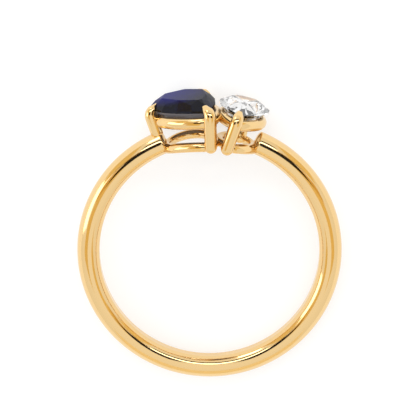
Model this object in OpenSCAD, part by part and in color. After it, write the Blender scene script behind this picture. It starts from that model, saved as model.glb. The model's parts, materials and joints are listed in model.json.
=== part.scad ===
// Toi et moi ring with a pear sapphire and a pear diamond in two open claw baskets.
// It lies on its side as it rests on a table: the finger axis is nearly upright, the head points
// along +Y, and the far rim of the shank, the sapphire's rear claw and its upper rail touch the
// surface.
// The shapes are drawn in the ring's own frame first: X to the right, Y along the finger away
// from the viewer, Z from the finger's centre to the head. Module laid turns them onto the table.

/* [Shank] */
// Inside diameter at the finger, 17.35 is US size 7
finger_d = 17.35; // [17:0.05:17.7]
// Width of the band along the finger
band_w = 2.3; // [2:0.05:2.6]
// Thickness of the band
band_t = 1.78; // [1.6:0.02:2]

/* [Stones] */
// Length of the pear sapphire
sapphire_l = 7; // [6.8:0.1:7.2]
// Width of the pear sapphire
sapphire_w = 5; // [4.8:0.1:5.2]
// Length of the pear diamond
diamond_l = 6; // [5.8:0.1:6.2]
// Width of the pear diamond
diamond_w = 4; // [3.8:0.1:4.2]

/* [Baskets] */
// Diameter of the claw wires
claw_d = 0.98; // [0.9:0.01:1.05]
// Height of the upper rails
upper_rail_h = 0.9; // [0.8:0.05:1]
// Height of the lower rails
lower_rail_h = 0.76; // [0.7:0.02:0.8]

/* [Hidden] */
$fn = 24;
round_steps = 72;
gold = [0.91, 0.75, 0.47];

// Play between a stone and the metal that holds it
seat_gap = 0.03;

// Band section: two half ellipses that meet at its widest line, cut to a true cylinder inside
finger_r = finger_d / 2;
inner_share = 0.43;
inner_sink = 0.06;
widest_r = finger_r + inner_share * band_t;
inner_reach = widest_r - finger_r + inner_sink;
outer_reach = finger_r + band_t - widest_r;
section_steps = 16;
// Ends of the shank, in degrees from the head
shank_end_left = 20.5;
shank_end_right = 21.5;

// Girdle thickness, crown and pavilion depth as shares of a stone's width
girdle_share = 0.03;
crown_share = 0.165;
pavilion_share = 0.42;
table_share = 0.62;
// Corners between the crown's rows and between the pavilion's: share of the outline, then share of
// the crown's or pavilion's depth
star_share = 0.8;
star_rise = 0.62;
lower_share = 0.5;
lower_drop = 0.56;
// How far the culet lies toward the round end, as a share of the width
culet_shift = 0.12;
// Facet columns round a stone
facet_columns = 16;

// A stone's pose: middle of its length at girdle height, slope to the right, pitch, turn of its tip
sapphire_pose = [[-1.62, -0.3, 11.8], -7.4, 0, 26];
diamond_pose = [[2.6, -0.5, 11.62], 12.5, -1, -7];
// Stations round a rail and sides of its wire
rail_stations = 30;
rail_sides = 8;
// Where a rail's first station and a claw's first side lie, as shares of a step
rail_start = 0.4;
claw_start = 0.7;
// Sharpness of a rail's tip, see pear
rail_point = 0.55;
// How far an upper rail's middle line lies under the girdle
upper_drop = 0.9;
upper_wire_w = 0.8;
lower_wire_w = 0.8;
// Middles of the lower rails, which bend over the finger just clear of it
base_z = finger_r + 0.04;
sapphire_foot = [-1.3, -0.5];
diamond_foot = [2.05, -0.5];
// Rail outlines as shares of the stone's outline: upper, lower
sapphire_shares = [0.91, 0.74];
diamond_shares = [0.81, 0.68];

// Claws of a basket: place round the stone's outline in degrees from its tip, rise of the bend
// over the girdle, foot of the wire as X, Y and its height over the lower rail's inner face
sapphire_claws = [[0, -0.1, [0.1, -3.2, -0.045]], [128, 0.1, [-0.1, 1.8, 0]], [-112, -0.1, [-4.1, -0.2, 1.24]]];
diamond_claws = [[0, -0.3, [1.35, -3.4, -0.04]], [180, -0.1, [2.4, 1.3, 0]]];
claw_r = claw_d / 2;
claw_tip_r = 0.24;
claw_sides = 12;
// How far a claw stands outside the girdle, bends in over the crown and rises to its tip
claw_stand_off = 0.3;
claw_bend_in = 0.75;
claw_bend_up = 0.42;
// Length of wire taken up by the bend on each side of its corner
claw_bend = 0.45;
// Share of the bend that the wire's section turns through, less than all so that it can't fold
claw_turn = 0.5;
// Share of the taper to the tip that is over at the end of the bend
claw_taper = 0.35;
// Angles of the rings of a claw's domed foot and tip
foot_dome = [-80, -55, -30, 0];
tip_dome = [0, 40, 75];
bend_step = 0.25;
// The claw station in the middle of the bend
bend_middle = len(foot_dome) + 2;
// Scale at which the wires are joined, see baskets
join_scale = 100;

// Outline of a pear on its half length and half width. Angle 0 is the tip, 180 the round end.
// The sideways reach is sin(a) times sin(a/2) to the power of point, scaled to the full width;
// a point of 1 gives a sharp tip and a smaller one rounds it.
function pear_peak(point) = 2 * pow((1 + point) / (2 + point), (1 + point) / 2) * sqrt(1 / (2 + point));
function pear(a, half_l, half_w, point) =
    let (s = abs(sin(a / 2)))
    [half_w * sin(a) * pow(s, point) / pear_peak(point), -half_l * cos(a)];
// Outward direction of the outline, square to the chord between two near points
function pear_out(a, half_l, half_w, point) =
    let (step = 2,
         p = pear(a - step, half_l, half_w, point),
         q = pear(a + step, half_l, half_w, point),
         d = q - p)
    [d[1], -d[0]] / norm(d);

// Turns of a point about the frame's axes
function turn_z(p, a) = [p[0] * cos(a) - p[1] * sin(a), p[0] * sin(a) + p[1] * cos(a), p[2]];
function turn_y(p, a) = [p[0] * cos(a) + p[2] * sin(a), p[1], -p[0] * sin(a) + p[2] * cos(a)];
function turn_x(p, a) = [p[0], p[1] * cos(a) - p[2] * sin(a), p[1] * sin(a) + p[2] * cos(a)];
function at_pose(p, pose) = pose[0] + turn_x(turn_y(turn_z(p, pose[3]), pose[1]), pose[2]);

module posed(pose) {
    translate(pose[0]) rotate([pose[2], 0, 0]) rotate([0, pose[1], 0]) rotate([0, 0, pose[3]]) children();
}

// The shank: an open circle of the band section about the finger axis
module shank() {
    section = [for (i = [0:section_steps - 1])
        let (a = 360 * i / section_steps)
        [widest_r + (cos(a) > 0 ? outer_reach : inner_reach) * cos(a), band_w / 2 * sin(a)]];
    rotate([90, 0, 0])
        rotate([0, 0, 90 + shank_end_left])
            rotate_extrude(angle = 360 - shank_end_left - shank_end_right, $fn = round_steps) polygon(section);
}

// Skin of a wire given as rings of points with the same number of sides, closed or with flat ends
module skin(rings, closed) {
    sides = len(rings[0]);
    count = len(rings);
    walls = [for (i = [0:count - (closed ? 1 : 2)]) for (j = [0:sides - 1])
        let (i2 = (i + 1) % count, j2 = (j + 1) % sides,
             p = i * sides + j, q = i2 * sides + j, r = i2 * sides + j2, s = i * sides + j2)
        each [[p, r, q], [p, s, r]]];
    ends = closed ? [] : [[for (j = [0:sides - 1]) sides - 1 - j], [for (j = [0:sides - 1]) (count - 1) * sides + j]];
    polyhedron([for (ring = rings) each ring], concat(walls, ends));
}

// Rings of an oval wire carried round a rounded pear outline
function rail_rings(half_l, half_w, wire_w, wire_h) = [for (i = [0:rail_stations - 1])
    let (a = 360 * (i + rail_start) / rail_stations,
         c = pear(a, half_l, half_w, rail_point),
         n = pear_out(a, half_l, half_w, rail_point))
    [for (j = [0:rail_sides - 1])
        let (b = 360 * j / rail_sides, out = wire_w / 2 * cos(b))
        [c[0] + n[0] * out, c[1] + n[1] * out, wire_h / 2 * sin(b)]]];

// An upper rail, parallel to its stone's girdle
function upper_rail(l, w, share, pose) =
    [for (ring = rail_rings(l / 2 * share, w / 2 * share, upper_wire_w, upper_rail_h))
        [for (p = ring) at_pose(p - [0, 0, upper_drop], pose)]];

// A lower rail, bent over the finger
function lower_rail(l, w, share, middle, turn) =
    let (middle_r = base_z + lower_rail_h / 2)
    [for (ring = rail_rings(l / 2 * share, w / 2 * share, lower_wire_w, lower_rail_h))
        [for (p = ring)
            let (q = turn_z(p, turn) + [middle[0], middle[1], 0])
            [q[0], q[1], q[2] + sqrt(middle_r * middle_r - q[0] * q[0])]]];

// Stations of a claw as [centre, direction, radius]: a round wire from a domed foot, bent in over
// the crown to a slim domed tip
function claw_stations(claw, l, w, pose) =
    let (edge = pear(claw[0], l / 2, w / 2, 1),
         out = claw[0] == 0 ? [0, -1] : pear_out(claw[0], l / 2, w / 2, 1),
         over = edge + out * claw_stand_off,
         inside = edge + out * (claw_stand_off - claw_bend_in),
         foot_r = base_z + claw_r + claw[2][2],
         foot = [claw[2][0], claw[2][1], sqrt(foot_r * foot_r - claw[2][0] * claw[2][0])],
         corner = at_pose([over[0], over[1], claw[1]], pose),
         tip = at_pose([inside[0], inside[1], claw[1] + claw_bend_up], pose),
         d0 = (corner - foot) / norm(corner - foot),
         d1 = (tip - corner) / norm(tip - corner),
         last = d0 * (1 - claw_turn) + d1 * claw_turn)
    concat(
        [for (a = foot_dome) [foot + d0 * claw_r * sin(a), d0, claw_r * cos(a)]],
        [for (t = [0:bend_step:1])
            let (p = corner - d0 * claw_bend * pow(1 - t, 2) + d1 * claw_bend * pow(t, 2),
                 d = d0 * (1 - t) + last * t)
            [p, d / norm(d), claw_r + (claw_tip_r - claw_r) * claw_taper * t]],
        [for (a = tip_dome) [tip + d1 * claw_tip_r * sin(a), last / norm(last), claw_tip_r * cos(a)]]);

module claw_wire(stations) {
    across = cross(stations[0][1], stations[len(stations) - 1][1]);
    side = across / norm(across);
    skin([for (s = stations)
        let (up = cross(side, s[1]))
        [for (j = [0:claw_sides - 1])
            let (b = 360 * (j + claw_start) / claw_sides)
            s[0] + (side * cos(b) + up * sin(b)) * s[2]]], false);
}

// A basket: two rails and the claws of one stone
module basket(l, w, pose, middle, shares, claws) {
    skin(upper_rail(l, w, shares[0], pose), true);
    skin(lower_rail(l, w, shares[1], middle, pose[3]), true);
    for (c = claws) claw_wire(claw_stations(c, l, w, pose));
}

// A pear cut stone: flat table, three rows of crown facets, girdle and two rows of pavilion
// facets. Grow swells it evenly for the seat that is cut into the metal.
module pear_stone(l, w, grow) {
    girdle_h = girdle_share * w + 2 * grow;
    crown_h = crown_share * w + grow;
    pavilion_h = pavilion_share * w + grow;
    function ring(share, z, shift) = [for (i = [0:facet_columns - 1])
        let (p = pear(360 * (i + shift) / facet_columns, l / 2 + grow, w / 2 + grow, 1))
        [p[0] * share, p[1] * share, z]];
    points = concat(
        ring(table_share, crown_h, 0),
        ring(star_share, crown_h * star_rise, 0.5),
        ring(1, girdle_h / 2, 0),
        ring(1, -girdle_h / 2, 0),
        ring(lower_share, -girdle_h / 2 - pavilion_h * lower_drop, 0.5),
        [[0, w * culet_shift, -pavilion_h]]);
    hull() polyhedron(points, [[for (i = [0:len(points) - 1]) i]]);
}

// Both baskets with the stones' seats cut into them. The resize keeps their size: it makes one skin
// of all the wires before they meet the shank. That is done at a large scale, where the short edges
// of two wires that cross stay apart.
module baskets() {
    scale(1 / join_scale) resize([0, 0, 0]) scale(join_scale) difference() {
        union() {
            basket(sapphire_l, sapphire_w, sapphire_pose, sapphire_foot, sapphire_shares, sapphire_claws);
            basket(diamond_l, diamond_w, diamond_pose, diamond_foot, diamond_shares, diamond_claws);
        }
        posed(sapphire_pose) pear_stone(sapphire_l, sapphire_w, seat_gap);
        posed(diamond_pose) pear_stone(diamond_l, diamond_w, seat_gap);
    }
}

module finger() {
    rotate([90, 0, 0]) cylinder(h = 4 * band_w, r = finger_r, center = true, $fn = round_steps);
}

// How the ring settles on the table. Down is the way to the table in the ring's frame for a lean
// of the head and a roll; a reach is how far a piece extends that way.
function down(lean, roll) = turn_x(turn_y([0, 0, -1], -roll), 90 - lean);
function claw_reach(stations, n) = max([for (s = stations) s[0] * n + s[2]]);
function rim_reach(n) =
    let (across = norm([n[0], n[2]]))
    widest_r * across + norm([outer_reach * across, band_w / 2 * n[1]]);
function rail_reach(rings, n) = max([for (ring = rings) for (p = ring) p * n]);
rear_claw = claw_stations(sapphire_claws[1], sapphire_l, sapphire_w, sapphire_pose);
rear_rail = upper_rail(sapphire_l, sapphire_w, sapphire_shares[0], sapphire_pose);
// About how far apart the rear claw and the rail touch, and how far both lie from the rim
rear_x = rear_claw[bend_middle][0][0];
rear_span = 1.5;
rear_arm = rear_claw[bend_middle][0][2] + finger_r + band_t;
// Lean and roll at which the sapphire's rear claw, its upper rail and the rim all touch the
// table, in a few rounds
function settle(lean, roll, rounds) =
    let (n = down(lean, roll),
         low = claw_reach(rear_claw, n),
         slope = (low - rail_reach(rear_rail, n)) / rear_span,
         rise = low - slope * rear_x - rim_reach(n))
    rounds == 0 ? [lean, roll] : settle(lean + atan(rise / rear_arm), roll - atan(slope), rounds - 1);
start_lean = 5;
settle_rounds = 12;
rest = settle(start_lean, 0, settle_rounds);
// At some sizes the diamond's rear claw comes lowest, and then it is what lifts the ring
other_claw = claw_stations(diamond_claws[1], diamond_l, diamond_w, diamond_pose);
lift = max(rim_reach(down(rest[0], rest[1])), claw_reach(other_claw, down(rest[0], rest[1])));

// The origin is under the middle of the ring's length: between the sapphire's table and the rim
function stone_reach(l, w, pose, n) = max([for (i = [0:facet_columns - 1])
    at_pose(concat(pear(360 * i / facet_columns, l / 2, w / 2, 1) * table_share, crown_share * w), pose) * n]);
ahead = down(rest[0] - 90, rest[1]);
length_shift = (rim_reach(ahead) - stone_reach(sapphire_l, sapphire_w, sapphire_pose, ahead)) / 2;

// Turn from the ring's frame onto the table
module laid() {
    translate([0, length_shift, lift]) rotate([rest[0], rest[1], 0]) rotate([-90, 0, 0]) children();
}

module ring_mount() {
    color(gold) laid() {
        difference() {
            shank();
            finger();
        }
        baskets();
    }
}

module sapphire() {
    color([0.1, 0.1, 0.25]) laid() posed(sapphire_pose) pear_stone(sapphire_l, sapphire_w, 0);
}

module diamond() {
    color([0.92, 0.94, 0.96]) laid() posed(diamond_pose) pear_stone(diamond_l, diamond_w, 0);
}

ring_mount();
sapphire();
diamond();
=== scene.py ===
"""Toi et moi ring: a pear sapphire and a pear diamond in two open claw baskets, lying on its side.

Shapes are worked out in the ring's own frame in millimetres, X to the right, Y along the finger away
from the viewer and Z from the finger's centre to the head, and are then laid on the table.
"""

import json
import logging
import math
from dataclasses import dataclass, replace
from enum import Enum

import bpy
import bmesh
import numpy as np
from mathutils import Matrix, Vector


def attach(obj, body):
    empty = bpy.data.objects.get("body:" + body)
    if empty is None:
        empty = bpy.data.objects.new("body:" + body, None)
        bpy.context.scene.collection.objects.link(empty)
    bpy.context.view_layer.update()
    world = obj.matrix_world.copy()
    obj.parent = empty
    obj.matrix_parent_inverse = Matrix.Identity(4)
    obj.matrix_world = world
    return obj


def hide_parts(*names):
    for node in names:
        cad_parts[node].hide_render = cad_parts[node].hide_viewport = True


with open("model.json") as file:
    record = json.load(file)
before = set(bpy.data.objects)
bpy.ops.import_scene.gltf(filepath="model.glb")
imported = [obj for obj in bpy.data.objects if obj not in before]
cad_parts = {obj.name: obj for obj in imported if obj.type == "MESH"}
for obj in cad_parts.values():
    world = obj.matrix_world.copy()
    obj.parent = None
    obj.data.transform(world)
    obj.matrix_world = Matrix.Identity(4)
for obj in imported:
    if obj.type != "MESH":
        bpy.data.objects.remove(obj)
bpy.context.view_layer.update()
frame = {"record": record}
LOG = logging.getLogger("ring")

# A millimetre in Blender's metres
MM = 0.001

# An edge of a round piece that turns more than this stays sharp
CREASE = math.radians(35)

# Half the step round an outline whose chord gives the outward direction
OUTLINE_STEP = math.radians(2)

# How much larger than its stone a seat is cut, in millimetres
SEAT_GAP = 0.03

# Where a Mix node gives its colour, after its number and its vector
MIXED_COLOUR = 2

WHITE = "#FFFFFF"
BLACK = "#000000"


class Slot(Enum):
    """The record's material slots."""

    GOLD = "gold"
    SAPPHIRE = "sapphire"
    DIAMOND = "diamond"


class CadNode(Enum):
    """The CAD nodes that the finer pieces stand for."""

    RING_MOUNT = "ring_mount"
    SAPPHIRE = "sapphire"
    DIAMOND = "diamond"


# Frames, planes and the places of the stones


@dataclass(frozen=True)
class RingFrame:
    """The ring's own frame as it lies in the row's frame: the finger hole's middle, and its axes' turn."""

    centre: np.ndarray
    turn: np.ndarray

    @staticmethod
    def from_record(record: dict) -> "RingFrame":
        """Read where the finger hole is and how it leans.

        The hole's axis is (cos lean sin roll, -sin lean, cos lean cos roll), so it gives both angles.

        Args:
            record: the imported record, whose finger mount gives the hole's middle and axis.

        Returns:
            The frame.
        """
        mount = next(m for m in record["mounts"] if m["name"] == "finger")
        across, back, up = mount["axis"]
        lean, roll = -math.asin(back), math.atan2(across, up)
        turn = (Matrix.Rotation(roll, 3, "Y") @ Matrix.Rotation(lean, 3, "X")
                @ Matrix.Rotation(-math.pi / 2, 3, "X"))
        return RingFrame(np.array(mount["pos_m"]), np.array(turn))

    def points(self, mm: np.ndarray) -> np.ndarray:
        """Points of the ring's frame in millimetres as points of the row's frame in metres."""
        return mm @ self.turn.T * MM + self.centre

    def direction(self, way: tuple[float, float, float]) -> Vector:
        """A direction of the ring's frame as a unit vector of the row's frame."""
        return Vector(self.turn @ np.array(way)).normalized()


@dataclass(frozen=True)
class Plane:
    """A plane in the row's frame: its direction, and how far along it the plane lies in metres."""

    way: tuple[float, float, float]
    distance: float


@dataclass(frozen=True)
class Stone:
    """A pear stone's length and width in millimetres, and where it sits in the ring's frame.

    Middle is the middle of its length at girdle height. Slope, pitch and turn are in degrees.
    """

    length: float
    width: float
    middle: tuple[float, float, float]
    slope: float
    pitch: float
    turn: float

    def place(self, points: np.ndarray) -> np.ndarray:
        """Lay points of the stone's own frame in the ring's frame.

        They turn about Z by turn, about Y by slope and about X by pitch, and then move to the middle.

        Args:
            points: points with the tip towards -Y and the table towards Z.

        Returns:
            The same points in the ring's frame.
        """
        turn = (Matrix.Rotation(math.radians(self.pitch), 3, "X")
                @ Matrix.Rotation(math.radians(self.slope), 3, "Y")
                @ Matrix.Rotation(math.radians(self.turn), 3, "Z"))
        return points @ np.array(turn).T + np.array(self.middle)

    def plane(self, ring: RingFrame, way: tuple[float, float, float], ahead: float) -> Plane:
        """A plane across the stone.

        Args:
            ring: the ring's frame.
            way: the plane's direction in the stone's own frame.
            ahead: how far it lies that way from the stone's middle, in millimetres.

        Returns:
            The plane.
        """
        unit = np.array(way) / np.linalg.norm(way)
        near, far = ring.points(self.place(np.array([unit * ahead, unit * (ahead + 1)])))
        direction = (far - near) / np.linalg.norm(far - near)
        return Plane(tuple(direction), float(direction @ near))


SAPPHIRE = Stone(length=7.0, width=5.0, middle=(-1.62, -0.3, 11.8), slope=-7.4, pitch=0, turn=26)
DIAMOND = Stone(length=6.0, width=4.0, middle=(2.6, -0.5, 11.62), slope=12.5, pitch=-1, turn=-7)


# Outlines and meshes


def pear(angle: np.ndarray, half_l: float, half_w: float, point: float = 1.0) -> np.ndarray:
    """Outline of a pear.

    The sideways reach is sin(a) times sin(a/2) to the power of point, scaled to the half width, and the
    lengthwise place is minus the half length times cos(a). Angle 0 is the tip.

    Args:
        angle: angles in radians.
        half_l: half the length.
        half_w: half the width.
        point: 1 gives a sharp tip and less rounds it.

    Returns:
        Points as rows of X and Y.
    """
    peak = 2 * ((1 + point) / (2 + point)) ** ((1 + point) / 2) * math.sqrt(1 / (2 + point))
    reach = np.sin(angle) * np.abs(np.sin(angle / 2)) ** point / peak
    return np.stack([half_w * reach, -half_l * np.cos(angle)], axis=-1)


def pear_out(angle: np.ndarray, half_l: float, half_w: float, point: float = 1.0) -> np.ndarray:
    """Outward direction of the pear outline: square to the chord between the points just before and after.

    Args:
        angle: angles in radians.
        half_l: half the length.
        half_w: half the width.
        point: 1 gives a sharp tip and less rounds it.

    Returns:
        Unit vectors as rows of X and Y.
    """
    chord = (pear(angle + OUTLINE_STEP, half_l, half_w, point)
             - pear(angle - OUTLINE_STEP, half_l, half_w, point))
    out = np.stack([chord[..., 1], -chord[..., 0]], axis=-1)
    return out / np.linalg.norm(chord, axis=-1, keepdims=True)


def add_object(name: str, data: bpy.types.ID) -> bpy.types.Object:
    """Put a mesh, a lamp or a camera into the scene as an object at the origin.

    Args:
        name: the object's name.
        data: what it shows.

    Returns:
        The object.
    """
    thing = bpy.data.objects.new(name, data)
    bpy.context.scene.collection.objects.link(thing)
    return thing


def make_tube(name: str, loops: np.ndarray, closed: bool, ring: RingFrame) -> bpy.types.Object:
    """Skin loops of points with quads, as a closed surface in a new object at the origin.

    A quad joins point j of loop i to point j + 1 and to the same two points of loop i + 1.

    Args:
        name: the piece's name.
        loops: points by loop, place in the loop and axis, in the ring's frame and in millimetres.
        closed: True joins the last loop to the first, False ends the tube in two flat faces.
        ring: the ring's frame.

    Returns:
        The object, with its faces pointing outwards.
    """
    rows, sides = loops.shape[:2]
    i, j = np.meshgrid(np.arange(rows if closed else rows - 1), np.arange(sides), indexing="ij")
    i2, j2 = (i + 1) % rows, (j + 1) % sides
    quads = np.stack([i * sides + j, i * sides + j2, i2 * sides + j2, i2 * sides + j], axis=-1)
    faces = quads.reshape(-1, 4).tolist()
    if not closed:
        faces += [list(range(sides - 1, -1, -1)), list(range((rows - 1) * sides, rows * sides))]
    mesh = bpy.data.meshes.new(name)
    mesh.from_pydata(ring.points(loops.reshape(-1, 3)).tolist(), [], faces)
    work = bmesh.new()
    work.from_mesh(mesh)
    bmesh.ops.recalc_face_normals(work, faces=work.faces)
    work.to_mesh(mesh)
    work.free()
    mesh.shade_smooth()
    mesh.set_sharp_from_angle(angle=CREASE)
    return add_object(name, mesh)


def cut_away(piece: bpy.types.Object, cutter: bpy.types.Object) -> None:
    """Cut one closed piece's shape out of another, as a seat is cut with a bur.

    Args:
        piece: the object that loses the shape.
        cutter: the object whose shape is taken.
    """
    bpy.context.view_layer.update()
    modifier = piece.modifiers.new("seat", "BOOLEAN")
    modifier.operation = "DIFFERENCE"
    modifier.solver = "EXACT"
    modifier.object = cutter
    cut = bpy.data.meshes.new_from_object(piece.evaluated_get(bpy.context.evaluated_depsgraph_get()))
    piece.modifiers.clear()
    piece.data = cut


# Materials


def linear(hex_colour: str) -> tuple[float, float, float, float]:
    """An sRGB colour such as #E8C078 as linear red, green, blue and alpha 1."""
    parts = [int(hex_colour[i:i + 2], 16) / 255 for i in (1, 3, 5)]
    return tuple(c / 12.92 if c <= 0.04045 else ((c + 0.055) / 1.055) ** 2.4 for c in parts) + (1.0,)


def add_node(tree: bpy.types.NodeTree, kind: str, settings: dict[str, object] | None = None,
             **inputs: object) -> bpy.types.Node:
    """Add a node with its settings and links.

    Args:
        tree: the node tree.
        kind: the node's type name.
        settings: attributes to set on the node.
        inputs: input identifiers, with _ for a space, and a value or a socket to link from.

    Returns:
        The node.
    """
    node = tree.nodes.new(kind)
    for key, value in (settings or {}).items():
        setattr(node, key, value)
    sockets = {socket.identifier.replace(" ", "_"): socket for socket in node.inputs}
    for key, value in inputs.items():
        if isinstance(value, bpy.types.NodeSocket):
            tree.links.new(value, sockets[key])
        else:
            sockets[key].default_value = value
    return node


def blank_material(name: str) -> tuple[bpy.types.Material, bpy.types.NodeTree]:
    """A material with an empty node tree.

    Args:
        name: the material's name.

    Returns:
        The material and its tree.
    """
    material = bpy.data.materials.new(name)
    material.use_nodes = True
    material.node_tree.nodes.clear()
    return material, material.node_tree


@dataclass(frozen=True)
class PolishedGold:
    """14 carat yellow gold, cast, filed and polished on a felt wheel."""

    colour: str = "#ECCA90"
    roughness_low: float = 0.06
    roughness_high: float = 0.14
    wave_mm: float = 1.3
    wave_depth_mm: float = 0.006
    scuff_mm: float = 0.16

    def build(self) -> bpy.types.Material:
        """Make the material.

        Hand polishing leaves slow waves about a millimetre long, which bend each reflection a little, and
        scuffs of the last wheel, drawn coarser than real ones so that they show as a change of gloss.

        Returns:
            The material.
        """
        material, tree = blank_material("polished_yellow_gold")
        place = add_node(tree, "ShaderNodeTexCoord").outputs["Object"]
        waves = add_node(tree, "ShaderNodeTexNoise", Vector=place, Scale=1 / (self.wave_mm * MM),
                         Detail=1.0)
        scuffs = add_node(tree, "ShaderNodeTexNoise", Vector=place, Scale=1 / (self.scuff_mm * MM),
                          Detail=3.0)
        gloss = add_node(tree, "ShaderNodeMapRange", Value=scuffs.outputs["Fac"],
                         To_Min=self.roughness_low, To_Max=self.roughness_high)
        bump = add_node(tree, "ShaderNodeBump", Height=waves.outputs["Fac"], Strength=1.0,
                        Distance=self.wave_depth_mm * MM)
        metal = add_node(tree, "ShaderNodeBsdfPrincipled", Base_Color=linear(self.colour), Metallic=1.0,
                         Roughness=gloss.outputs["Result"], Normal=bump.outputs["Normal"])
        add_node(tree, "ShaderNodeOutputMaterial", Surface=metal.outputs["BSDF"])
        return material


@dataclass(frozen=True)
class HazeWithPaintedBand:
    """A matte haze over a deep stone, which takes away much of its gloss.

    Share is how much of the surface it covers. Its colour is near black over the crown and bluer towards the
    round end. Under the girdle it is pale grey, as painted light for the brighter band the pavilion shows.
    Each zone blurs into the next.
    """

    share: float
    girdle: Plane
    round_end: Plane
    crown: str = "#0A0A0F"
    blue: str = "#080880"
    # Pale grey under the girdle: painted light, standing for the brighter band the pavilion shows
    base: str = "#8E8E98"
    girdle_blur_mm: float = 0.03
    round_end_blur_mm: float = 0.38

    def colour(self, tree: bpy.types.NodeTree, place: bpy.types.NodeSocket) -> bpy.types.NodeSocket:
        """Colour the haze by its zones; the pale one under the girdle is painted light.

        A point's place along a plane's direction, from a blur before the plane to a blur after it, becomes a
        share from 0 to 1. One share turns the crown's colour into the blue, and the other the base into both.

        Args:
            tree: the material's nodes.
            place: the point that is coloured.

        Returns:
            The colour.
        """
        shares = []
        for plane, blur_mm in ((self.round_end, self.round_end_blur_mm), (self.girdle, self.girdle_blur_mm)):
            along = add_node(tree, "ShaderNodeVectorMath", {"operation": "DOT_PRODUCT"},
                             Vector=place, Vector_001=plane.way)
            share = add_node(tree, "ShaderNodeMapRange", Value=along.outputs["Value"],
                             From_Min=plane.distance - blur_mm * MM, From_Max=plane.distance + blur_mm * MM)
            shares.append(share.outputs["Result"])
        upper = add_node(tree, "ShaderNodeMix", {"data_type": "RGBA"}, Factor_Float=shares[0],
                         A_Color=linear(self.crown), B_Color=linear(self.blue))
        # Under the girdle the haze turns pale grey, a painted band of light on the pavilion
        whole = add_node(tree, "ShaderNodeMix", {"data_type": "RGBA"}, Factor_Float=shares[1],
                         A_Color=linear(self.base), B_Color=upper.outputs[MIXED_COLOUR])
        return whole.outputs[MIXED_COLOUR]


@dataclass(frozen=True)
class CutStone:
    """A faceted gem: clear crystal, polished on a tin lap.

    The lap leaves each facet mirror bright with a faint change of gloss over it. The body's colour comes
    from the length of crystal that the light has crossed, and depth is the rate of its loss in a metre.
    """

    name: str
    colour: str
    ior: float
    body: str = WHITE
    depth: float = 0.0
    painted_band_haze: HazeWithPaintedBand | None = None
    lap_low: float = 0.0
    lap_high: float = 0.02
    lap_mm: float = 0.4

    def build(self) -> bpy.types.Material:
        """Make the material.

        Returns:
            The material.
        """
        material, tree = blank_material(self.name)
        place = add_node(tree, "ShaderNodeTexCoord").outputs["Object"]
        lap = add_node(tree, "ShaderNodeTexNoise", Vector=place, Scale=1 / (self.lap_mm * MM), Detail=2.0)
        gloss = add_node(tree, "ShaderNodeMapRange", Value=lap.outputs["Fac"], To_Min=self.lap_low,
                         To_Max=self.lap_high)
        crystal = add_node(tree, "ShaderNodeBsdfPrincipled", Base_Color=linear(self.colour), IOR=self.ior,
                           Transmission_Weight=1.0, Roughness=gloss.outputs["Result"])
        ends = {"Surface": crystal.outputs["BSDF"]}
        if self.painted_band_haze:
            # The haze mixed in here is pale grey under the girdle: a painted band of light on the pavilion
            haze = add_node(tree, "ShaderNodeBsdfDiffuse", Color=self.painted_band_haze.colour(tree, place))
            hazy = add_node(tree, "ShaderNodeMixShader", Fac=self.painted_band_haze.share, Shader=crystal.outputs["BSDF"],
                            Shader_001=haze.outputs["BSDF"])
            ends["Surface"] = hazy.outputs["Shader"]
        if self.depth:
            loss = add_node(tree, "ShaderNodeVolumeAbsorption", Color=linear(self.body), Density=self.depth)
            ends["Volume"] = loss.outputs["Volume"]
        add_node(tree, "ShaderNodeOutputMaterial", **ends)
        return material


@dataclass(frozen=True)
class MattePaint:
    """Water paint rolled thinly on the studio's cards and table, so they show an even colour and no gloss.

    Glow lights it from behind, as a light table is lit.
    """

    name: str
    colour: str
    roughness: float
    glow: float = 0.0

    def build(self) -> bpy.types.Material:
        """Make the material.

        Returns:
            The material.
        """
        material, tree = blank_material(self.name)
        paint = add_node(tree, "ShaderNodeBsdfPrincipled", Base_Color=linear(self.colour),
                         Roughness=self.roughness, Emission_Color=linear(WHITE), Emission_Strength=self.glow)
        add_node(tree, "ShaderNodeOutputMaterial", Surface=paint.outputs["BSDF"])
        return material


# The ring's pieces, with lengths in millimetres and angles in degrees


@dataclass
class Piece:
    """What every piece of the ring shares: its frame, and how it joins the model."""

    ring: RingFrame

    def join(self, piece: bpy.types.Object, material: bpy.types.Material, slot: Slot, node: CadNode) -> None:
        """Give a piece its finish and let it stand for a CAD node on the one body.

        Args:
            piece: the object.
            material: its finish.
            slot: the record's slot for that finish; not used.
            node: the CAD node that it stands for.
        """
        piece.data.materials.clear()
        piece.data.materials.append(material)
        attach(piece, "root")
        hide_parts(node.value)
        LOG.info("%s: %d faces", piece.name, len(piece.data.polygons))


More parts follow.
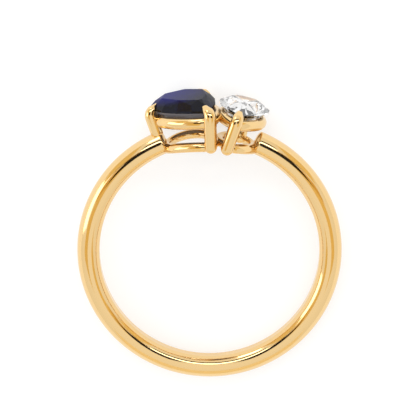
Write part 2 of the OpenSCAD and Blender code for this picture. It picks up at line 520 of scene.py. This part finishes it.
@dataclass
class Shank(Piece):
    """The open band: two half ellipses that meet at the widest line, flat at the finger.

    The widest line lies an inner share of the thickness out from the finger, and the inner ellipse sinks a
    little past the finger, which cuts it flat. The band is open under the head, by one angle on the left
    and another on the right, and its ends are rounded.
    """

    finger_r: float = 8.675
    band_w: float = 2.3
    band_t: float = 1.78
    inner_share: float = 0.43
    inner_sink: float = 0.06
    end_left: float = 20.5
    end_right: float = 21.5
    end_round: float = 0.35
    stations: int = 260
    sides: int = 72
    dome_steps: int = 8

    def build(self) -> bpy.types.Object:
        """Carry the section round the finger.

        A point of the section lies at widest + reach cos(t) from the axis, with the outer reach where cos(t)
        is above 0 and the inner one elsewhere, and at half the width times sin(t) along it. Nothing comes
        nearer than the finger. Towards each end the section shrinks on its middle as a quarter ellipse does,
        so the solder joints under the head are rounded. A loop's size is taken half a step past its place.

        Returns:
            The object.
        """
        widest = self.finger_r + self.inner_share * self.band_t
        outer = self.finger_r + self.band_t - widest
        inner = widest - self.finger_r + self.inner_sink
        t = np.linspace(0, 2 * math.pi, self.sides, endpoint=False)
        r = np.maximum(widest + np.where(np.cos(t) > 0, outer, inner) * np.cos(t), self.finger_r)
        y = self.band_w / 2 * np.sin(t)
        round_angle = self.end_round / widest
        first, last = math.radians(90 + self.end_left), math.radians(450 - self.end_right)
        dome = np.linspace(0.0, 1.0, self.dome_steps, endpoint=False) * math.pi / 2
        half_step = math.pi / 4 / self.dome_steps
        end = first + round_angle * (1 - np.cos(dome))
        end_size = np.sin(dome + half_step)
        middle = np.linspace(first + round_angle, last - round_angle, self.stations)
        theta = np.concatenate([end, middle, (first + last) - end[::-1]])[:, None]
        size = np.concatenate([end_size, np.ones(self.stations), end_size[::-1]])[:, None]
        radius = widest + (r[None, :] - widest) * size
        loops = np.stack([radius * np.cos(theta), -y[None, :] * size, radius * np.sin(theta)], axis=-1)
        return make_tube("shank", loops, False, self.ring)


@dataclass(frozen=True)
class Claw:
    """Where one claw stands.

    Place is its angle round the stone's outline from the tip, and rise is how far its bend lies above the
    girdle. Foot is where it starts, across and along the finger, and lift how far out from its usual place.
    """

    place: float
    rise: float
    foot: tuple[float, float]
    lift: float = 0.0


@dataclass
class Basket(Piece):
    """Two rails and the claws of one stone.

    Shares are the two rails' sizes as parts of the stone's outline, and middle is the lower rail's place
    across and along the finger. The upper rail hangs a drop under the girdle, and the lower rail's underside
    lies at the base's radius. A claw bends a stand off outside the girdle, and its tip lies a step in and a
    step up from that corner. Bend is the length of the bend's arms, turn share how much of the turn the tip
    makes, and taper how much of its slimming a claw has done by the bend's end.
    """

    name: str
    stone: Stone
    middle: tuple[float, float]
    shares: tuple[float, float]
    claws: tuple[Claw, ...]
    rail_point: float = 0.55
    upper_drop: float = 0.9
    upper_h: float = 0.9
    lower_h: float = 0.76
    wire_w: float = 0.8
    base_z: float = 8.715
    claw_r: float = 0.49
    tip_r: float = 0.24
    stand_off: float = 0.3
    bend_in: float = 0.75
    bend_up: float = 0.42
    bend: float = 0.45
    turn_share: float = 0.5
    taper: float = 0.35
    dome_end: float = 88
    stations: int = 180
    rail_sides: int = 32
    claw_sides: int = 40
    bend_steps: int = 14
    dome_steps: int = 9

    def rail_loops(self, share: float, height: float) -> np.ndarray:
        """Carry an oval wire round a rounded pear.

        A point lies at the outline plus half the wire's width times cos(b) outwards, and at half its height
        times sin(b) up.

        Args:
            share: the rail's size as a part of the stone's outline.
            height: the wire's height.

        Returns:
            Points by loop, place in the loop and axis, in the stone's own frame.
        """
        a = np.linspace(0, 2 * math.pi, self.stations, endpoint=False)
        b = np.linspace(0, 2 * math.pi, self.rail_sides, endpoint=False)
        half_l, half_w = self.stone.length / 2 * share, self.stone.width / 2 * share
        middle = pear(a, half_l, half_w, self.rail_point)[:, None, :]
        reach = (self.wire_w / 2 * np.cos(b))[None, :, None]
        out = pear_out(a, half_l, half_w, self.rail_point)[:, None, :] * reach
        up = np.broadcast_to(height / 2 * np.sin(b), (len(a), len(b)))[..., None]
        return np.concatenate([middle + out, up], axis=-1)

    def upper_rail(self) -> bpy.types.Object:
        """The upper rail, parallel to the girdle and a set drop under it."""
        loops = self.rail_loops(self.shares[0], self.upper_h) - np.array([0, 0, self.upper_drop])
        return make_tube(self.name + "_upper_rail", self.stone.place(loops), True, self.ring)

    def lower_rail(self) -> bpy.types.Object:
        """The lower rail, bent over the finger.

        Each point is lifted by the square root of the bend's radius squared less its place across squared.

        Returns:
            The object.
        """
        level = replace(self.stone, middle=(*self.middle, 0.0), slope=0, pitch=0)
        loops = level.place(self.rail_loops(self.shares[1], self.lower_h))
        bend_r = self.base_z + self.lower_h / 2
        loops[..., 2] += np.sqrt(bend_r ** 2 - loops[..., 0] ** 2)
        return make_tube(self.name + "_lower_rail", loops, True, self.ring)

    def claw_corners(self, claw: Claw) -> tuple[np.ndarray, np.ndarray, np.ndarray]:
        """Find where a claw's middle line starts, bends and ends.

        The foot stands on a cylinder round the finger, a claw's radius out from the base. Stand off and
        steps are taken square to the outline, or along the stone's axis for the step up.

        Args:
            claw: the claw's place.

        Returns:
            The foot, the bend's corner and the tip, in the ring's frame.
        """
        angle = np.array(math.radians(claw.place))
        half_l, half_w = self.stone.length / 2, self.stone.width / 2
        edge, out = pear(angle, half_l, half_w), pear_out(angle, half_l, half_w)
        over, inside = edge + out * self.stand_off, edge + out * (self.stand_off - self.bend_in)
        corner, tip = self.stone.place(np.array([[*over, claw.rise], [*inside, claw.rise + self.bend_up]]))
        foot_x, foot_y = claw.foot
        foot_r = self.base_z + self.claw_r + claw.lift
        return np.array([foot_x, foot_y, math.sqrt(foot_r ** 2 - foot_x ** 2)]), corner, tip

    def claw_piece(self, claw: Claw, number: int) -> bpy.types.Object:
        """One claw: a round wire from a domed foot, bent in over the crown to a slim domed tip.

        The wire runs straight from the foot to the bend, then along a parabola whose two arms are the bend's
        length, and straight on to the tip. Its radius shrinks in a straight line along each of the two.

        Args:
            claw: the claw's place.
            number: its number in the basket.

        Returns:
            The object.
        """
        foot, corner, tip = self.claw_corners(claw)
        rising = (corner - foot) / np.linalg.norm(corner - foot)
        leaning = (tip - corner) / np.linalg.norm(tip - corner)
        last = rising * (1 - self.turn_share) + leaning * self.turn_share
        t = np.linspace(0, 1, self.bend_steps)[:, None]
        dome = np.linspace(0, self.dome_end, self.dome_steps) * math.pi / 180
        sink = -dome[::-1]
        centres = np.concatenate([
            foot + rising * (self.claw_r * np.sin(sink))[:, None],
            corner - rising * self.bend * (1 - t) ** 2 + leaning * self.bend * t ** 2,
            tip + leaning * (self.tip_r * np.sin(dome))[:, None]])
        ways = np.concatenate([np.repeat(rising[None], self.dome_steps, 0), rising * (1 - t) + last * t,
                               np.repeat(last[None], self.dome_steps, 0)])
        ways /= np.linalg.norm(ways, axis=1, keepdims=True)
        radii = np.concatenate([self.claw_r * np.cos(sink),
                                self.claw_r + (self.tip_r - self.claw_r) * self.taper * t[:, 0],
                                self.tip_r * np.cos(dome)])
        side = np.cross(rising, last)
        side /= np.linalg.norm(side)
        up = np.cross(side, ways)
        b = np.linspace(0, 2 * math.pi, self.claw_sides, endpoint=False)
        spokes = side * np.cos(b)[None, :, None] + up[:, None, :] * np.sin(b)[None, :, None]
        loops = centres[:, None, :] + radii[:, None, None] * spokes
        return make_tube(f"{self.name}_claw_{number}", loops, False, self.ring)

    def build(self) -> list[bpy.types.Object]:
        """Both rails and all claws, with the stones' seats not yet cut."""
        rails = [self.upper_rail(), self.lower_rail()]
        return rails + [self.claw_piece(claw, number) for number, claw in enumerate(self.claws, 1)]


@dataclass
class PearStone(Piece):
    """A pear brilliant: table, stars, kites and upper halves on top, mains and lower halves underneath.

    A share is a part of the stone's width, or of the outline for a ring of corners, and a star's height and
    a lower half's depth are parts of the crown and the pavilion.
    """

    name: str
    stone: Stone
    mains: int = 8
    girdle_share: float = 0.03
    crown_share: float = 0.165
    pavilion_share: float = 0.42
    table: float = 0.62
    star_share: float = 0.81
    star_height: float = 0.6
    lower_share: float = 0.46
    lower_depth: float = 0.6
    culet_back: float = 0.12
    girdle_points: int = 64
    one_facet: float = 0.8

    def build(self, grow: float = 0.0, suffix: str = "") -> bpy.types.Object:
        """The convex skin of the facets' corners.

        Rings of corners are the pear outline times a share at a height: the table's corners at half steps of
        a main, the stars' at whole steps, the girdle's two fine rings, the lower halves' corners at whole
        steps and the culet. Faces that turn less than the angle of one facet are merged.

        Args:
            grow: how far the whole stone is swelled, in millimetres, for cutting its seat.
            suffix: added to the name.

        Returns:
            The object.
        """
        length, width = self.stone.length, self.stone.width
        girdle = self.girdle_share * width / 2 + grow
        crown, pavilion = self.crown_share * width + grow, self.pavilion_share * width + grow
        whole = np.arange(self.mains) * 2 * math.pi / self.mains
        fine = np.arange(self.girdle_points) * 2 * math.pi / self.girdle_points

        def corners(angle: np.ndarray, share: float, height: float) -> np.ndarray:
            """The outline at these angles, times share, at a height."""
            flat = pear(angle, length / 2 + grow, width / 2 + grow) * share
            return np.column_stack([flat, np.full(len(flat), height)])

        points = np.concatenate([
            corners(whole + math.pi / self.mains, self.table, crown),
            corners(whole, self.star_share, crown * self.star_height),
            corners(fine, 1.0, girdle), corners(fine, 1.0, -girdle),
            corners(whole, self.lower_share, -girdle - pavilion * self.lower_depth),
            [[0.0, width * self.culet_back, -pavilion]]])
        mesh = bpy.data.meshes.new(self.name + suffix)
        mesh.from_pydata(self.ring.points(self.stone.place(points)).tolist(), [], [])
        work = bmesh.new()
        work.from_mesh(mesh)
        hull = bmesh.ops.convex_hull(work, input=work.verts)
        within = [part for part in hull["geom_interior"] if isinstance(part, bmesh.types.BMVert)]
        bmesh.ops.delete(work, geom=within, context="VERTS")
        bmesh.ops.dissolve_limit(work, angle_limit=math.radians(self.one_facet), verts=work.verts,
                                 edges=work.edges)
        bmesh.ops.recalc_face_normals(work, faces=work.faces)
        work.to_mesh(mesh)
        work.free()
        return add_object(self.name + suffix, mesh)


# The studio


@dataclass(frozen=True)
class Card:
    """A coloured card that only the gold and the stones mirror.

    Low and high are its edges in degrees up from the finger's axis towards the head, as the ring sees them.
    Left and right are its ends in degrees to the right of the view.
    """

    name: str
    low: float
    high: float
    left: float
    right: float
    colour: str

    def mirrored(self) -> tuple["Card", "Card"]:
        """The same card on the left and on the right of the ring."""
        return (replace(self, name=self.name + "_left", left=-self.right, right=-self.left),
                replace(self, name=self.name + "_right"))


@dataclass(frozen=True)
class SoftBox:
    """A soft box's name, its direction from the ring in the ring's frame, its sizes and its power.

    The length of a box that is across the view runs to the right of the ring, and any other box has its
    length level with the table.
    """

    name: str
    way: tuple[float, float, float]
    reach_mm: float
    length_mm: float
    height_mm: float
    watts: float
    across: bool = False


def climb(degrees: float) -> tuple[float, float, float]:
    """A direction this many degrees up from the finger's axis on the viewer's side, towards the head."""
    return 0.0, -math.cos(math.radians(degrees)), math.sin(math.radians(degrees))


# Each of these shows in the gold as a line or a tint, and stands on both sides
PAIRED_CARDS = (
    Card("dark_card", low=11, high=36, left=10, right=39, colour=BLACK),
    Card("brown_card", low=36, high=41, left=31, right=50, colour="#A88538"),
    Card("amber_card", low=41, high=90, left=38, right=62, colour="#ECD496"),
    Card("far_card", low=11, high=30, left=39, right=56, colour="#D8B060"),
    Card("warm_card", low=-26, high=11, left=23, right=50, colour="#E6CA84"))

SINGLE_CARDS = (
    Card("dark_card_top", low=50, high=60, left=-34, right=34, colour=BLACK),
    Card("amber_card_foot", low=-90, high=-52, left=-32, right=32, colour="#F4E6C4"))

SOFT_BOXES = (
    SoftBox("white_strip", climb(42), reach_mm=150, length_mm=180, height_mm=22, watts=0.042, across=True),
    SoftBox("head_box", (-0.45, -0.15, 0.88), reach_mm=400, length_mm=110, height_mm=110, watts=0.12),
    SoftBox("left_box", (-0.93, -0.27, 0.15), reach_mm=400, length_mm=200, height_mm=200, watts=0.22))


@dataclass
class Studio:
    """Pale table, soft light from all round, and the camera of the photograph."""

    ring: RingFrame
    elevation: float = 16.2
    distance_mm: float = 191.3
    pixels_per_mm: float = 12.65
    image_px: float = 420.0
    aim_right_px: float = 0.5
    aim_up_px: float = 40.44
    sensor_mm: float = 36.0
    nearest_m: float = 0.01
    farthest_m: float = 20.0
    world_top: float = 1.04
    world_foot: float = 0.95
    floor_half_m: float = 1.5
    floor_colour: str = "#B6B6B6"
    floor_roughness: float = 0.8
    floor_glow: float = 0.57
    card_reach_mm: float = 150
    card_roughness: float = 1.0

    def camera(self) -> None:
        """A long lens at the photograph's angle to the ring.

        It stands in the plane of the finger and the head, its elevation up from the finger's axis towards the
        head, and its aim is moved up the picture because the ring's centre lies below the middle.
        """
        back = self.ring.direction(climb(self.elevation))
        up = self.ring.direction(climb(self.elevation + 90))
        right = self.ring.direction((1, 0, 0))
        centre = Vector(self.ring.centre)
        eye = centre + back * self.distance_mm * MM
        aside = right * (self.aim_right_px / self.pixels_per_mm) + up * (self.aim_up_px / self.pixels_per_mm)
        look = (centre + aside * MM - eye).normalized()
        side = look.cross(up).normalized()
        data = bpy.data.cameras.new("camera")
        data.sensor_width = self.sensor_mm
        data.lens = self.pixels_per_mm * self.distance_mm / self.image_px * self.sensor_mm
        data.clip_start = self.nearest_m
        data.clip_end = self.farthest_m
        camera = add_object("camera", data)
        turn = Matrix((side, side.cross(look), -look)).transposed()
        camera.matrix_world = Matrix.Translation(eye) @ turn.to_4x4()
        bpy.context.scene.camera = camera

    def board(self, name: str, corners: list[list[float]], paint: MattePaint) -> bpy.types.Object:
        """Put up a flat board that isn't part of the ring.

        Args:
            name: the board's name.
            corners: its four corners in the row's frame, in order round it.
            paint: its paint.

        Returns:
            The object.
        """
        mesh = bpy.data.meshes.new(name)
        mesh.from_pydata(corners, [], [(0, 1, 2, 3)])
        mesh.materials.append(paint.build())
        board = add_object(name, mesh)
        return board

    def floor(self) -> None:
        """The table the ring lies on, lit a little from below."""
        half = self.floor_half_m
        corners = [[-half, -half, 0], [half, -half, 0], [half, half, 0], [-half, half, 0]]
        paint = MattePaint("matte_white_floor", self.floor_colour, self.floor_roughness, self.floor_glow)
        self.board("floor", corners, paint)

    def card(self, card: Card) -> None:
        """Put up a card and hide it from the camera, from the table's shade and from light through stones.

        A corner's direction is the tangent of its angle to the side, the cosine of its angle up towards the
        viewer and the sine of it towards the head.

        Args:
            card: the card.
        """
        up = np.radians([card.low, card.low, card.high, card.high])
        along = np.radians([card.left, card.right, card.right, card.left])
        ways = np.stack([np.tan(along), -np.cos(up), np.sin(up)], axis=-1)
        ways /= np.linalg.norm(ways, axis=1, keepdims=True)
        corners = self.ring.points(ways * self.card_reach_mm).tolist()
        paint = MattePaint(card.name + "_paint", card.colour, self.card_roughness)
        board = self.board(card.name, corners, paint)
        board.visible_camera = False
        board.visible_diffuse = False
        board.visible_transmission = False

    def soft_box(self, box: SoftBox) -> None:
        """Hang a soft box that faces the ring.

        Args:
            box: the soft box.
        """
        data = bpy.data.lights.new(box.name, "AREA")
        data.shape = "RECTANGLE"
        data.size = box.length_mm * MM
        data.size_y = box.height_mm * MM
        data.energy = box.watts
        back = self.ring.direction(box.way)
        side = self.ring.direction((1, 0, 0))
        turn = (Matrix((side, back.cross(side), back)).transposed() if box.across
                else back.to_track_quat("Z", "Y").to_matrix())
        place = Vector(self.ring.centre) + back * box.reach_mm * MM
        lamp = add_object(box.name, data)
        lamp.matrix_world = Matrix.Translation(place) @ turn.to_4x4()

    def world(self) -> None:
        """A white tent round the table, a little brighter overhead than at its foot.

        Its strength grows with the height of the direction, from the horizon to straight overhead.
        """
        world = bpy.data.worlds.new("studio")
        world.use_nodes = True
        tree = world.node_tree
        tree.nodes.clear()
        direction = add_node(tree, "ShaderNodeTexCoord").outputs["Generated"]
        height = add_node(tree, "ShaderNodeSeparateXYZ", Vector=direction).outputs["Z"]
        strength = add_node(tree, "ShaderNodeMapRange", Value=height, To_Min=self.world_foot,
                            To_Max=self.world_top).outputs["Result"]
        sky = add_node(tree, "ShaderNodeBackground", Color=linear(WHITE), Strength=strength)
        add_node(tree, "ShaderNodeOutputWorld", Surface=sky.outputs["Background"])
        bpy.context.scene.world = world

    def build(self) -> None:
        """Everything round the ring."""
        bpy.context.scene.view_settings.view_transform = "Standard"
        self.world()
        self.floor()
        self.camera()
        for pair in PAIRED_CARDS:
            for card in pair.mirrored():
                self.card(card)
        for card in SINGLE_CARDS:
            self.card(card)
        for box in SOFT_BOXES:
            self.soft_box(box)


def main() -> None:
    """Build the ring and its studio, piece by piece."""
    logging.basicConfig(level=logging.INFO, format="%(name)s: %(message)s")
    ring = RingFrame.from_record(frame["record"])
    gold = PolishedGold().build()
    shank = Shank(ring)
    shank.join(shank.build(), gold, Slot.GOLD, CadNode.RING_MOUNT)
    sapphire = PearStone(ring, "sapphire_stone", SAPPHIRE, girdle_points=16, table=0.7, star_share=0.86)
    diamond = PearStone(ring, "diamond_stone", DIAMOND, mains=16, table=0.55, star_share=0.77,
                        lower_share=0.35)
    baskets = (
        Basket(ring, "sapphire_basket", SAPPHIRE, middle=(-1.3, -0.5), shares=(0.91, 0.74), claws=(
            Claw(place=0, rise=-0.1, foot=(0.1, -3.2), lift=-0.045),
            Claw(place=128, rise=0.1, foot=(-0.1, 1.8)),
            Claw(place=-112, rise=-0.1, foot=(-4.1, -0.2), lift=1.24))),
        Basket(ring, "diamond_basket", DIAMOND, middle=(2.05, -0.5), shares=(0.81, 0.68), claws=(
            Claw(place=0, rise=-0.3, foot=(1.35, -3.4), lift=-0.04),
            Claw(place=180, rise=-0.1, foot=(2.4, 1.3)))))
    cutters = [stone.build(SEAT_GAP, "_seat") for stone in (sapphire, diamond)]
    for basket in baskets:
        for piece in basket.build():
            for cutter in cutters:
                cut_away(piece, cutter)
            basket.join(piece, gold, Slot.GOLD, CadNode.RING_MOUNT)
    for cutter in cutters:
        bpy.data.objects.remove(cutter)
    # The sapphire's haze is pale grey under the girdle: painted light for the pavilion's brighter band
    painted_band_haze = HazeWithPaintedBand(share=0.72, girdle=SAPPHIRE.plane(ring, (0, 0, 1), -0.11),
                round_end=SAPPHIRE.plane(ring, (-0.09, 0.12, 0.99), 0.9))
    blue = CutStone("blue_sapphire", "#30309C", ior=1.77, body="#5050D8", depth=160, painted_band_haze=painted_band_haze)
    clear = CutStone("colourless_diamond", WHITE, ior=2.42)
    sapphire.join(sapphire.build(), blue.build(), Slot.SAPPHIRE, CadNode.SAPPHIRE)
    diamond.join(diamond.build(), clear.build(), Slot.DIAMOND, CadNode.DIAMOND)
    Studio(ring).build()


if __name__ == "__main__":
    main()
